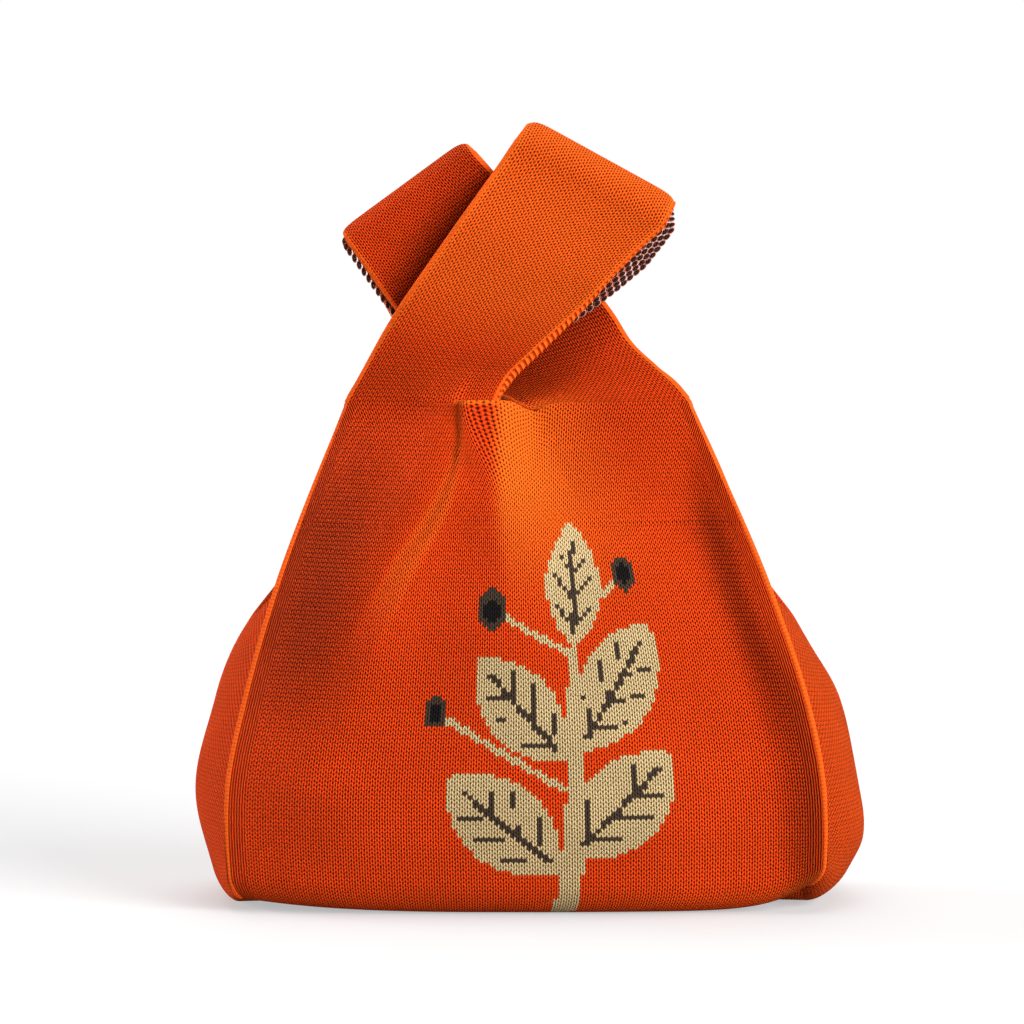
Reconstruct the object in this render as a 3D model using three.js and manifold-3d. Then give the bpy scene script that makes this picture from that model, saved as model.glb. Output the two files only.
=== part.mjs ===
// A knitted knot bag, standing filled on its base with its two shoulder handles crossed.
// The long handle comes from the left shoulder. The short handle comes from the right one, and is
// threaded through the long handle's loop. The fabric is a double knit: an outer and an inner layer.
// Millimetres, +Z up, front towards -Y. The origin is the middle of the base, on its underside.
import * as THREE from "three";
import { mergeVertices } from "three/addons/utils/BufferGeometryUtils.js";
import Module from "manifold-3d";

const wasm = await Module();
wasm.setup();

// Fabric
const OUTER_THICKNESS = 1.6;
const LINING_THICKNESS = 1.4;
const CLEARANCE = 0.3; // between pieces that touch
const SEAM_RADIUS = 1.5; // the ridge where a front or back panel meets a gusset
const SEAM_SUNK = 1.0; // how far the ridge's centre lies inside the corner
const BASE_SEAM_RADIUS = 0.9;
const BASE_SEAM_INSET = 2.5; // how far the base's seam lies inside the walls' lower edges
const SEAM_TOP_DROP = 9; // how far below the neckline the ridges end

// Heights
const HEM_HEIGHT = 12; // the rounded edge between the base and the walls
const ARMHOLE_HEIGHT = 118; // where front and back part at the sides
const NECK_HEIGHT = 190; // the bottom of the neckline
const ARMHOLE_SAG = 11; // the gusset's top edge dips between its corners

// Where the filled body's four corner edges stand furthest out
const LEFT_WIDEST = 114;
const RIGHT_WIDEST = 111;
const DEEPEST = 42.5; // to the front, and to the back

// The body's shape: [height, size] stations, joined by smooth curves
const LEFT_HEM_INSET = 6; // how far the base's corners lie inside the wall's
const RIGHT_HEM_INSET = 9;
const FRONT_HEM_INSET = 10;
// The base's corners are drawn up from the ground: by how much, and how near the corner that starts.
const CORNER_LIFT = { left: 4, right: 9, leftPower: 3, rightPower: 6, reach: 34 };
const HEIGHTS = {
  full: 45,
  round: 80,
  bust: NECK_HEIGHT - 38,
  collar: NECK_HEIGHT - 12,
};
// Insets of the corner edges from where they stand furthest out
const LEFT_INSET = [
  [0, 1], [HEIGHTS.full, 0], [HEIGHTS.round, 6.7], [ARMHOLE_HEIGHT, 17.3], [HEIGHTS.bust, 29.2],
  [NECK_HEIGHT, 44],
];
const RIGHT_INSET = [
  [0, 0], [HEIGHTS.full, 0.4], [HEIGHTS.round, 7], [ARMHOLE_HEIGHT, 19.6], [HEIGHTS.bust, 33.3],
  [NECK_HEIGHT, 50],
];
const DEPTH_INSET = [
  [0, 0.5], [HEIGHTS.full, 0], [HEIGHTS.round, 4.5], [ARMHOLE_HEIGHT, 12], [HEIGHTS.bust, 21.4],
  [HEIGHTS.collar, 26.7], [NECK_HEIGHT, 27.5],
];
// How far each wall swells out between its corner edges
const CROWN = [
  [0, 7], [HEIGHTS.full, 13], [HEIGHTS.round, 14], [ARMHOLE_HEIGHT, 12], [HEIGHTS.bust, 7.2],
  [HEIGHTS.collar, 3.4], [NECK_HEIGHT, 3],
];
const LEFT_SWELL = [
  [0, 4], [HEM_HEIGHT, 7.4], [30, 11.4], [HEIGHTS.full, 12.9], [HEIGHTS.round, 13.2], [100, 11.6],
  [ARMHOLE_HEIGHT, 9.6],
];
const RIGHT_SWELL = [
  [0, 3], [HEM_HEIGHT, 10.5], [24, 15.8], [HEIGHTS.full, 15.2], [HEIGHTS.round, 13.1], [100, 10.3],
  [ARMHOLE_HEIGHT, 9.3],
];

// The pleat that the crossed handles pinch into the middle of the neckline
const PLEAT_DEPTH = 13;
const PLEAT_FOOT = 95; // the height where it fades out
const PLEAT_STEEP = [-22.8, -13]; // its left flank
const PLEAT_GENTLE = [-10, 0.5]; // its right flank

// Handles. Their edges are points across X and up from the neckline, on the fabric's outer face.
// Each root runs from the side seam to its inner end.
const LONG_HANDLE = {
  side: -1,
  innerRoot: -23,
  outer: [[-60.6, 17], [-50.8, 33.5], [-28.5, 66], [-7.6, 96.6]],
  inner: [[-12, 5], [3, 20.2], [22, 37.4], [39, 56], [50.3, 67.7]],
  face: 16.65, // distance of the outer face from the middle plane at the crossing
  foldRadius: 12,
  innerSettles: 0.35, // where its inner edge reaches that distance, as a share of its length
  taperFrom: 0.6, // above this share of its length the loop closes towards its fold
  skew: 9.5, // how far the back leg lies to the low side of the front one
};
const SHORT_HANDLE = {
  side: 1,
  innerRoot: 3,
  outer: [[55.8, 6.4], [48, 13.6], [38.5, 22.4], [30.6, 34.5], [6, 65], [-20, 93.2]],
  inner: [[1.6, 2], [-14, 4.6], [-29, 10], [-38, 20], [-49.4, 33.5], [-66, 59]],
  face: 11.15,
  foldRadius: 7,
  innerSettles: 0.13,
  taperFrom: 0.5,
  skew: 5,
};
const FOOT_MARGIN = 1; // a root's round foot reaches this far past the root's ends
const SETTLE_FROM = 0.02; // the share of a leg's length where it leaves the line of its panel
const OUTER_SETTLES = 0.4; // where its outer edge reaches the crossing's distance
const ROOT_OVERLAP = 0.35; // a handle's root reaches this far into the panel that it grows from

// The neckline dips behind the pleat, to stay clear of the handles when they swing. The dip's
// reach is counted from the pleat's left flank, the short handle's root and the corner's depth.
const NECK_RELIEF = { drop: 6.5, left: 0.5, right: 1.5, behindPleat: 4.5 };

// Where each loop's free end bends: a point on the bending line across X and up from the neckline,
// the line's slope down to the right, and the radius of the rounded ends that turn on each other
LONG_HANDLE.bend = { at: [5.5, 69.5], slope: -49.9, radius: 17.3 };
SHORT_HANDLE.bend = { at: [-33, 64], slope: 57.1, radius: 11.2 };

// Where the surfaces have their rows, and how many columns they have
const PANEL_COLUMNS = 20;
const LOWER_WALL_HEIGHTS = [HEM_HEIGHT, 24, 44, 70, 95, ARMHOLE_HEIGHT];
const UPPER_WALL_HEIGHTS = [ARMHOLE_HEIGHT + 18, ...[37, 22, 10, 0].map((drop) => NECK_HEIGHT - drop)];
const HEM_ANGLES = [0, 30, 60]; // 0 lies flat on the ground, 90 is the upright wall
const SEAM_HEM_ANGLES = [22, 45, 68];
const GUSSET_COLUMNS = 8;
const HANDLE_COLUMNS = 6;
const LEG_SHARES = [0, 0.02, 0.05, 0.09, 0.13, 0.19, 0.26, 0.38, 0.52, 0.66, 0.78, 0.89, 1];
const FOLD_ROWS = 5;
const BASE_CURVE_PARTS = 7;
const SEAM_STEPS = 20;
const SEAM_FACETS = 6;

const fabric = (colour) => new THREE.MeshStandardMaterial({ color: colour, roughness: 0.9, metalness: 0 });
const ORANGE = fabric(0xd9441a);
const BROWN = fabric(0x4a2418);
const SEAM = fabric(0xe05a1e);

const clamp01 = (value) => Math.min(1, Math.max(0, value));
const mix = (a, b, share) => a + (b - a) * share;
const smooth = (from, to, value) => {
  const share = clamp01((value - from) / (to - from));
  return share * share * (3 - 2 * share);
};

// A smooth curve through [place, size] stations.
function stationCurve(stations) {
  const slope = (i) => {
    const [a, b] = [stations[Math.max(0, i - 1)], stations[Math.min(stations.length - 1, i + 1)]];
    return (b[1] - a[1]) / (b[0] - a[0]);
  };
  return (place) => {
    let i = 0;
    while (i < stations.length - 2 && place > stations[i + 1][0]) i += 1;
    const [[p0, s0], [p1, s1]] = [stations[i], stations[i + 1]];
    const span = p1 - p0;
    const t = clamp01((place - p0) / span);
    const [m0, m1] = [slope(i) * span, slope(i + 1) * span];
    const [t2, t3] = [t * t, t * t * t];
    return (2 * t3 - 3 * t2 + 1) * s0 + (t3 - 2 * t2 + t) * m0 + (3 * t2 - 2 * t3) * s1 + (t3 - t2) * m1;
  };
}

const leftInset = stationCurve(LEFT_INSET);
const rightInset = stationCurve(RIGHT_INSET);
const depthInset = stationCurve(DEPTH_INSET);
const crown = stationCurve(CROWN);
const leftSwell = stationCurve(LEFT_SWELL);
const rightSwell = stationCurve(RIGHT_SWELL);

// One level of the body: where its four corners lie, and how much each wall swells between them.
function wallLevel(z) {
  return {
    z,
    left: LEFT_WIDEST - leftInset(z),
    right: RIGHT_WIDEST - rightInset(z),
    depth: DEEPEST - depthInset(z),
    crown: crown(z),
    leftSwell: leftSwell(z),
    rightSwell: rightSwell(z),
  };
}

// A level of the hem, where the walls turn under the bag.
function hemLevel(degrees) {
  const turn = THREE.MathUtils.degToRad(degrees);
  const inset = 1 - Math.sin(turn);
  const wall = wallLevel(HEM_HEIGHT * (1 - Math.cos(turn)));
  return {
    ...wall,
    left: wall.left - LEFT_HEM_INSET * inset,
    right: wall.right - RIGHT_HEM_INSET * inset,
    depth: wall.depth - FRONT_HEM_INSET * inset,
  };
}

// How far the fabric is drawn up at a height, share of the way from the middle to a corner.
function cornerLift(share, z) {
  const { left, right, leftPower, rightPower, reach } = CORNER_LIFT;
  const lift = share < 0 ? left * (-share) ** leftPower : right * share ** rightPower;
  return lift * (1 - smooth(0, reach, z));
}

const hemLevels = HEM_ANGLES.map(hemLevel);
const lowerLevels = [...hemLevels, ...LOWER_WALL_HEIGHTS.map(wallLevel)];
const panelLevels = [...lowerLevels, ...UPPER_WALL_HEIGHTS.map(wallLevel)];
const neckLevel = wallLevel(NECK_HEIGHT);
const baseLevel = hemLevel(0);

function pleat(x, z) {
  const rise = smooth(PLEAT_FOOT, NECK_HEIGHT, z);
  return PLEAT_DEPTH * rise * smooth(...PLEAT_STEEP, x) * (1 - smooth(...PLEAT_GENTLE, x));
}

// A point on the front panel's outer face; the back panel is its mirror image.
function frontPoint(x, level) {
  const half = (level.left + level.right) / 2;
  const across = (x - (level.right - level.left) / 2) / half;
  const out = level.depth + level.crown * (1 - across * across) + pleat(x, level.z);
  return new THREE.Vector3(x, -out, level.z + cornerLift(across, level.z));
}

// A point on a gusset's outer face. side is -1 for left and 1 for right, and q runs from -1 to 1.
function gussetPoint(q, level, side, edgeInset) {
  const y = q * (level.depth - edgeInset);
  const across = 1 - q * q;
  const edge = side < 0 ? level.left : level.right;
  const swell = side < 0 ? level.leftSwell : level.rightSwell;
  const up = clamp01((level.z - HEM_HEIGHT) / (ARMHOLE_HEIGHT - HEM_HEIGHT));
  const z = level.z - ARMHOLE_SAG * up ** 3 * across + cornerLift(side * Math.abs(q), level.z);
  return new THREE.Vector3(side * (edge + swell * across), y, z);
}

// The grid's normals: rows run one way and columns the other, and side turns them outwards.
function gridNormals(grid, side) {
  const rows = grid.length;
  const columns = grid[0].length;
  return grid.map((row, i) => row.map((_, j) => {
    const along = grid[Math.min(rows - 1, i + 1)][j].clone().sub(grid[Math.max(0, i - 1)][j]);
    const across = row[Math.min(columns - 1, j + 1)].clone().sub(row[Math.max(0, j - 1)]);
    return across.cross(along).normalize().multiplyScalar(side);
  }));
}

// A closed sheet of fabric: the grid's face moved in by from and by to, and joined round its edges.
function sheetGeometry(grid, side, from, to) {
  const normals = gridNormals(grid, side);
  const rows = grid.length;
  const columns = grid[0].length;
  const layer = (depth) => grid.flatMap(
    (row, i) => row.map((p, j) => p.clone().addScaledVector(normals[i][j], -depth)),
  );
  const points = [...layer(from), ...layer(to)];
  const faces = [];
  const quad = (a, b, c, d) => faces.push(...(side > 0 ? [a, b, c, a, c, d] : [a, c, b, a, d, c]));
  const at = (i, j, deep) => deep * rows * columns + i * columns + j;
  for (let i = 0; i < rows - 1; i += 1) {
    for (let j = 0; j < columns - 1; j += 1) {
      quad(at(i, j, 0), at(i, j + 1, 0), at(i + 1, j + 1, 0), at(i + 1, j, 0));
      quad(at(i, j, 1), at(i + 1, j, 1), at(i + 1, j + 1, 1), at(i, j + 1, 1));
    }
  }
  for (let i = 0; i < rows - 1; i += 1) {
    quad(at(i, 0, 0), at(i + 1, 0, 0), at(i + 1, 0, 1), at(i, 0, 1));
    const last = columns - 1;
    quad(at(i, last, 0), at(i, last, 1), at(i + 1, last, 1), at(i + 1, last, 0));
  }
  for (let j = 0; j < columns - 1; j += 1) {
    quad(at(0, j, 0), at(0, j, 1), at(0, j + 1, 1), at(0, j + 1, 0));
    const last = rows - 1;
    quad(at(last, j, 0), at(last, j + 1, 0), at(last, j + 1, 1), at(last, j, 1));
  }
  const geometry = new THREE.BufferGeometry();
  const numbers = points.flatMap((p) => p.toArray());
  geometry.setAttribute("position", new THREE.Float32BufferAttribute(numbers, 3));
  geometry.setIndex(faces);
  return geometry;
}

// Booleans
function solidOf(geometry) {
  const bare = new THREE.BufferGeometry().setAttribute("position", geometry.getAttribute("position"));
  bare.setIndex(geometry.index);
  const merged = mergeVertices(bare, 1e-4);
  return new wasm.Manifold(new wasm.Mesh({
    numProp: 3,
    vertProperties: merged.attributes.position.array,
    triVerts: new Uint32Array(merged.index.array),
  }));
}

function geometryOf(solid) {
  const mesh = solid.getMesh();
  const geometry = new THREE.BufferGeometry();
  geometry.setAttribute("position", new THREE.BufferAttribute(new Float32Array(mesh.vertProperties), 3));
  geometry.setIndex(new THREE.BufferAttribute(new Uint32Array(mesh.triVerts), 1));
  return geometry;
}

const REACH = 400; // longer than the bag, for cutting tools
// A round cutter along Y, standing for a handle's foot.
const footCutter = (centre, radius) => solidOf(
  new THREE.CylinderGeometry(radius, radius, REACH, 36).translate(centre[0], 0, centre[1]),
);
const boxCutter = (low, high) => solidOf(
  new THREE.BoxGeometry(high[0] - low[0], high[1] - low[1], high[2] - low[2])
    .translate((low[0] + high[0]) / 2, (low[1] + high[1]) / 2, (low[2] + high[2]) / 2),
);

// The two layers of fabric, as depths behind the outer face
const LINING_FROM = OUTER_THICKNESS + CLEARANCE;
const LAYERS = {
  outer: { from: 0, to: OUTER_THICKNESS },
  lining: { from: LINING_FROM, to: LINING_FROM + LINING_THICKNESS },
};
const SEAM_INSET = SEAM_SUNK + SEAM_RADIUS + 1.5 * CLEARANCE; // room for the ridge beside a panel's edge

// Body panels
function panelGrid(y, inset) {
  return panelLevels.map((level) => {
    const [low, high] = [-level.left + inset, level.right - inset];
    return Array.from({ length: PANEL_COLUMNS + 1 }, (_, j) => {
      const p = frontPoint(mix(low, high, j / PANEL_COLUMNS), level);
      return new THREE.Vector3(p.x, p.y * -y, p.z);
    });
  });
}

// Where two linings meet in a corner, the front and back ones stop short of the gussets'.
function panelSheet(y, layer) {
  const inset = Math.max(SEAM_INSET, layer === LAYERS.lining ? layer.to + CLEARANCE : 0);
  return solidOf(sheetGeometry(panelGrid(y, inset), -y, layer.from, layer.to));
}

function gussetGeometry(side, layer) {
  const grid = lowerLevels.map((level) => Array.from({ length: GUSSET_COLUMNS + 1 }, (_, j) => (
    gussetPoint(mix(-1, 1, j / GUSSET_COLUMNS), level, side, SEAM_INSET)
  )));
  return sheetGeometry(grid, side, layer.from, layer.to);
}

// Base
function baseShape(inset) {
  const [l, r, d] = [-baseLevel.left + inset, baseLevel.right - inset, baseLevel.depth - inset];
  const middle = (l + r) / 2;
  const shape = new THREE.Shape();
  shape.moveTo(l, -d);
  shape.quadraticCurveTo(middle, -d - 2 * baseLevel.crown, r, -d);
  shape.quadraticCurveTo(r + 2 * baseLevel.rightSwell, 0, r, d);
  shape.quadraticCurveTo(middle, d + 2 * baseLevel.crown, l, d);
  shape.quadraticCurveTo(l - 2 * baseLevel.leftSwell, 0, l, -d);
  return shape;
}

function baseGeometry(layer) {
  return new THREE.ExtrudeGeometry(baseShape(BASE_SEAM_INSET + BASE_SEAM_RADIUS + CLEARANCE), {
    depth: layer.to - layer.from, bevelEnabled: false, curveSegments: BASE_CURVE_PARTS,
  }).translate(0, 0, layer.from);
}

// A round bead that runs along a closed outline, at one height.
function ringGeometry(outline, z, radius) {
  const count = outline.length;
  const sides = SEAM_FACETS;
  const points = [];
  const faces = [];
  for (let i = 0; i < count; i += 1) {
    const along = outline[(i + 1) % count].clone().sub(outline[(i + count - 1) % count]).normalize();
    for (let k = 0; k < sides; k += 1) {
      const turn = (2 * Math.PI * k) / sides;
      const out = radius * Math.cos(turn);
      points.push(outline[i].x + along.y * out, outline[i].y - along.x * out, z + radius * Math.sin(turn));
    }
  }
  for (let i = 0; i < count; i += 1) {
    for (let k = 0; k < sides; k += 1) {
      const [a, b] = [i * sides + k, i * sides + ((k + 1) % sides)];
      const [c, d] = [((i + 1) % count) * sides + ((k + 1) % sides), ((i + 1) % count) * sides + k];
      faces.push(a, d, c, a, c, b);
    }
  }
  const geometry = new THREE.BufferGeometry();
  geometry.setAttribute("position", new THREE.Float32BufferAttribute(points, 3));
  geometry.setIndex(faces);
  return geometry;
}

function baseSeamGeometry() {
  const outline = baseShape(BASE_SEAM_INSET).getPoints(BASE_CURVE_PARTS).slice(0, -1);
  return ringGeometry(outline, BASE_SEAM_RADIUS + CLEARANCE, BASE_SEAM_RADIUS);
}

// A seam ridge up one corner of the body, from the hem to just under a handle's foot.
function seamGeometry(side, y) {
  const top = wallLevel(NECK_HEIGHT - SEAM_TOP_DROP);
  const below = panelLevels.filter((level) => level.z >= HEM_HEIGHT && level.z < top.z);
  const levels = [...SEAM_HEM_ANGLES.map(hemLevel), ...below, top];
  const path = new THREE.CatmullRomCurve3(levels.map((level) => new THREE.Vector3(
    side * ((side < 0 ? level.left : level.right) - SEAM_SUNK),
    y * (level.depth - SEAM_SUNK),
    Math.max(level.z, SEAM_RADIUS + CLEARANCE) + cornerLift(side, level.z),
  )));
  const section = new THREE.Shape().absarc(0, 0, SEAM_RADIUS, 0, 2 * Math.PI);
  return new THREE.ExtrudeGeometry(section, {
    extrudePath: path, steps: SEAM_STEPS, curveSegments: SEAM_FACETS / 2,
  });
}

// Handles. A handle is one band: up the front, over the fold and down the back.
const handlePoint = ([x, up]) => new THREE.Vector3(x, 0, NECK_HEIGHT + up);

function rootEnds(handle) {
  const reach = handle.side < 0 ? neckLevel.left : neckLevel.right;
  return [handle.side * reach, handle.innerRoot];
}

function handleFrame(handle) {
  const edge = (root, points) => new THREE.CatmullRomCurve3(
    [[root, -ROOT_OVERLAP], ...points].map(handlePoint),
  );
  const [outerRoot, innerRoot] = rootEnds(handle);
  const outer = edge(outerRoot, handle.outer);
  const inner = edge(innerRoot, handle.inner);
  const [tipOuter, tipInner] = [outer.getPoint(1), inner.getPoint(1)];
  const across = tipInner.clone().sub(tipOuter).normalize();
  const up = new THREE.Vector3(-across.z, 0, across.x).multiplyScalar(-handle.side);
  return { outer, inner, tipOuter, tipInner, across, up };
}

// The outer face's distance from the middle plane, at a share t of the leg's length and w across it.
function legFace(handle, x, t, w) {
  const level = wallLevel(NECK_HEIGHT - ROOT_OVERLAP);
  const root = -frontPoint(x, level).y - pleat(x, level.z);
  const settles = mix(OUTER_SETTLES, handle.innerSettles, w);
  const crossing = mix(root, handle.face, smooth(SETTLE_FROM, settles, t));
  return mix(crossing, handle.foldRadius, smooth(handle.taperFrom, 1, t));
}

function legRow(handle, frame, t, y) {
  const [a, b] = [frame.outer.getPointAt(t), frame.inner.getPointAt(t)];
  const shift = y > 0 ? handle.skew * Math.sin(Math.PI * t) ** 2 : 0;
  return Array.from({ length: HANDLE_COLUMNS + 1 }, (_, j) => {
    const w = j / HANDLE_COLUMNS;
    const p = a.clone().lerp(b, w).addScaledVector(frame.across, shift);
    p.y = y * legFace(handle, p.x, t, w);
    return p;
  });
}

function handleGrid(handle) {
  const frame = handleFrame(handle);
  const fold = Array.from({ length: FOLD_ROWS }, (_, i) => {
    const turn = (Math.PI * (i + 1)) / (FOLD_ROWS + 1);
    return Array.from({ length: HANDLE_COLUMNS + 1 }, (_, j) => {
      const p = frame.tipOuter.clone().lerp(frame.tipInner, j / HANDLE_COLUMNS);
      p.addScaledVector(frame.up, handle.foldRadius * Math.sin(turn));
      p.y = -handle.foldRadius * Math.cos(turn);
      return p;
    });
  });
  return [
    ...LEG_SHARES.map((t) => legRow(handle, frame, t, -1)),
    ...fold,
    ...LEG_SHARES.toReversed().map((t) => legRow(handle, frame, t, 1)),
  ];
}

// The tool that parts a handle's lower legs from the end of its loop: a cylinder along the
// bending line, with everything below that line. The legs end a clearance short of the loop.
function bendCutter(bend, radius) {
  const below = new THREE.BoxGeometry(REACH, REACH, REACH).translate(0, 0, -REACH / 2);
  const roller = new THREE.CylinderGeometry(radius, radius, REACH, 32).rotateZ(Math.PI / 2);
  const turn = new THREE.Matrix4().makeRotationY(-THREE.MathUtils.degToRad(bend.slope));
  turn.setPosition(bend.at[0], 0, NECK_HEIGHT + bend.at[1]);
  return solidOf(below.applyMatrix4(turn)).add(solidOf(roller.applyMatrix4(turn)));
}

// A handle's foot, grown by a clearance where it is cut out of a panel
function footOf(handle, gap) {
  const [outer, inner] = rootEnds(handle);
  return footCutter([(outer + inner) / 2, NECK_HEIGHT], Math.abs(inner - outer) / 2 + FOOT_MARGIN + gap);
}

function handleSolids(handle, layer) {
  const { bend } = handle;
  const band = solidOf(sheetGeometry(handleGrid(handle), -handle.side, layer.from, layer.to));
  const foot = footOf(handle, 0);
  const legs = band.intersect(bendCutter(bend, bend.radius - CLEARANCE));
  const leg = (y) => {
    const [low, high] = y < 0 ? [-REACH, 0] : [0, REACH];
    const half = boxCutter([-REACH, low, -REACH], [REACH, high, REACH]);
    return legs.intersect(half).add(panelSheet(y, layer).intersect(foot));
  };
  return { loop: band.subtract(bendCutter(bend, bend.radius)), front: leg(-1), back: leg(1) };
}

function panelSolid(y, layer) {
  const depth = neckLevel.depth + NECK_RELIEF.behindPleat;
  const relief = boxCutter(
    [PLEAT_STEEP[0] + NECK_RELIEF.left, -depth, NECK_HEIGHT - NECK_RELIEF.drop],
    [SHORT_HANDLE.innerRoot + NECK_RELIEF.right, depth, NECK_HEIGHT + NECK_RELIEF.drop],
  );
  return [LONG_HANDLE, SHORT_HANDLE].reduce(
    (panel, handle) => panel.subtract(footOf(handle, CLEARANCE)),
    panelSheet(y, layer).subtract(relief),
  );
}

// Assembly
const bag = new THREE.Group();

function addPiece(name, geometry, material) {
  const mesh = new THREE.Mesh(geometry, material);
  mesh.name = name;
  bag.add(mesh);
}

for (const [layerName, layer] of Object.entries(LAYERS)) {
  const lining = layerName === "lining";
  const ending = lining ? "_lining" : "";
  const material = lining ? BROWN : ORANGE;
  addPiece("front_panel" + ending, geometryOf(panelSolid(-1, layer)), material);
  addPiece("back_panel" + ending, geometryOf(panelSolid(1, layer)), material);
  addPiece("left_gusset" + ending, gussetGeometry(-1, layer), material);
  addPiece("right_gusset" + ending, gussetGeometry(1, layer), material);
  addPiece("base_panel" + ending, baseGeometry(layer), material);
  for (const [name, handle] of [["long_handle", LONG_HANDLE], ["short_handle", SHORT_HANDLE]]) {
    const solids = handleSolids(handle, layer);
    addPiece(name + "_front_leg" + ending, geometryOf(solids.front), material);
    addPiece(name + "_back_leg" + ending, geometryOf(solids.back), material);
    addPiece(name + "_loop" + ending, geometryOf(solids.loop), material);
  }
}
for (const [sideName, side] of [["left", -1], ["right", 1]]) {
  addPiece("front_" + sideName + "_seam", seamGeometry(side, -1), SEAM);
  addPiece("back_" + sideName + "_seam", seamGeometry(side, 1), SEAM);
}
addPiece("base_seam", baseSeamGeometry(), SEAM);

export default bag;
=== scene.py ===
# The looks of a knitted knot bag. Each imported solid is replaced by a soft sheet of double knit, made on
# the same surfaces with softer folds. Sizes are in millimetres until a mesh is made, +Z up.
import math

import bpy
import numpy as np
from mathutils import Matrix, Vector


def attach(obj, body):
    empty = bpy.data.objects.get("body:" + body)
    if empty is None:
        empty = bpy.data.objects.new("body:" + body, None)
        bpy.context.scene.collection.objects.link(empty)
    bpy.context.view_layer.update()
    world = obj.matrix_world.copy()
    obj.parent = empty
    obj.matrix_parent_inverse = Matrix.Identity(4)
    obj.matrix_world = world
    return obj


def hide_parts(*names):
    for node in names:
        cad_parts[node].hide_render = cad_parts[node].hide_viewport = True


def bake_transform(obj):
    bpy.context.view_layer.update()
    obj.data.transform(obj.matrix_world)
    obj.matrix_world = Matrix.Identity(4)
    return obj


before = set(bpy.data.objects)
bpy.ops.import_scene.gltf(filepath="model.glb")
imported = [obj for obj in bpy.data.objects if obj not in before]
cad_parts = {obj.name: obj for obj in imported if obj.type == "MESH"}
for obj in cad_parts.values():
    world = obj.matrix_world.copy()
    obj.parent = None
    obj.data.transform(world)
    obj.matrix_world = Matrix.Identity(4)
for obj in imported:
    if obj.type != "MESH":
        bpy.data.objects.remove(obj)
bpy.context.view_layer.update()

MM = 0.001

# The body's heights, widths and depths, as in the solids
HEM_HEIGHT = 12
FULL_HEIGHT = 45
ROUND_HEIGHT = 80
ARMHOLE_HEIGHT = 118
BUST_HEIGHT = 152
COLLAR_HEIGHT = 178
NECK_HEIGHT = 190
ARMHOLE_SAG = 11
LEFT_WIDEST = 114
RIGHT_WIDEST = 111
DEEPEST = 42.5
LEFT_HEM_INSET = 6
RIGHT_HEM_INSET = 9
FRONT_HEM_INSET = 10
# Its shape at heights: how far its left and right sides come in, how far its front does and how far the
# panel is crowned there, and how far each gusset swells
SIDE_INSETS = [(0, 1, 0), (FULL_HEIGHT, 0, 0.4), (ROUND_HEIGHT, 6.7, 7), (ARMHOLE_HEIGHT, 17.3, 19.6),
               (BUST_HEIGHT, 29.2, 33.3), (NECK_HEIGHT, 44, 50)]
FRONT_INSETS = [(0, 0.5, 7), (FULL_HEIGHT, 0, 13), (ROUND_HEIGHT, 4.5, 14), (ARMHOLE_HEIGHT, 12, 12),
                (BUST_HEIGHT, 21.4, 7.2), (COLLAR_HEIGHT, 26.7, 3.4), (NECK_HEIGHT, 27.5, 3)]
LEFT_SWELL = [(0, 4), (HEM_HEIGHT, 7.4), (30, 11.4), (FULL_HEIGHT, 12.9), (ROUND_HEIGHT, 13.2), (100, 11.6),
              (ARMHOLE_HEIGHT, 9.6)]
RIGHT_SWELL = [(0, 3), (HEM_HEIGHT, 10.5), (24, 15.8), (FULL_HEIGHT, 15.2), (ROUND_HEIGHT, 13.1),
               (100, 10.3), (ARMHOLE_HEIGHT, 9.3)]
# The base's corners are drawn up from the ground.
CORNER_LIFT = {"left": 4, "right": 9, "left_power": 3, "right_power": 9, "reach": 34}
GUSSET_LIFT_SPREAD = 0.4  # below 1, the right gusset is drawn up over more of its width
GUSSET_WAVE = {"height": 0.9, "length": 13, "slant": 2.2}
LEFT_BULGE = 4  # above 2, the panel's left half is fuller towards its edge

# The pleat. At each height: where its left flank starts and ends across X, where its right flank
# starts and ends, and how far it stands out.
PLEAT = [
    (60, -88, -76, -9.5, 38, 0),
    (90, -73, -63, -9.5, 34, 3.4),
    (107, -65, -54, -9.5, 34, 5.6),
    (130, -52, -43, -11, 31, 8),
    (142, -43.5, -36, -12.5, 26, 9),
    (155, -35.5, -30, -13.5, 19, 9.6),
    (170, -29.6, -26, -14, 11, 10),
    (190, -27.4, -24.6, -14, 3.8, 10.5),
]
# At the neckline the pleat's cloth is stretched. Each place across X, and how far it is moved.
STRETCH = [(-40, 0), (-22.8, -5.7), (-13, -11.3), (-7.4, -4), (5, -1.2), (20, 0)]
STRETCH_FOOT = 150
# Between two heights the cloth comes to rise before the left flank: its share, its width, and how far
# past the flank's foot it ends where there is no pleat above it.
PLEAT_LEAD = {"share": 0.7, "heights": (NECK_HEIGHT - 60, NECK_HEIGHT - 25), "width": 26, "ends": (6, 20)}
PLEAT_STEP = {"share": 0.5, "below": NECK_HEIGHT - 50}  # low down, how much of it the left flank reaches
NECK_FREE = ((-29, -27), (1, 4.5))  # the free stretch of the neckline, and how its ends fade
# The dip where the neckline meets the short handle's root
NECK_DIP = {"at": 0.5, "half": 5, "drop": 3.8, "reach": 30}

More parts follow.
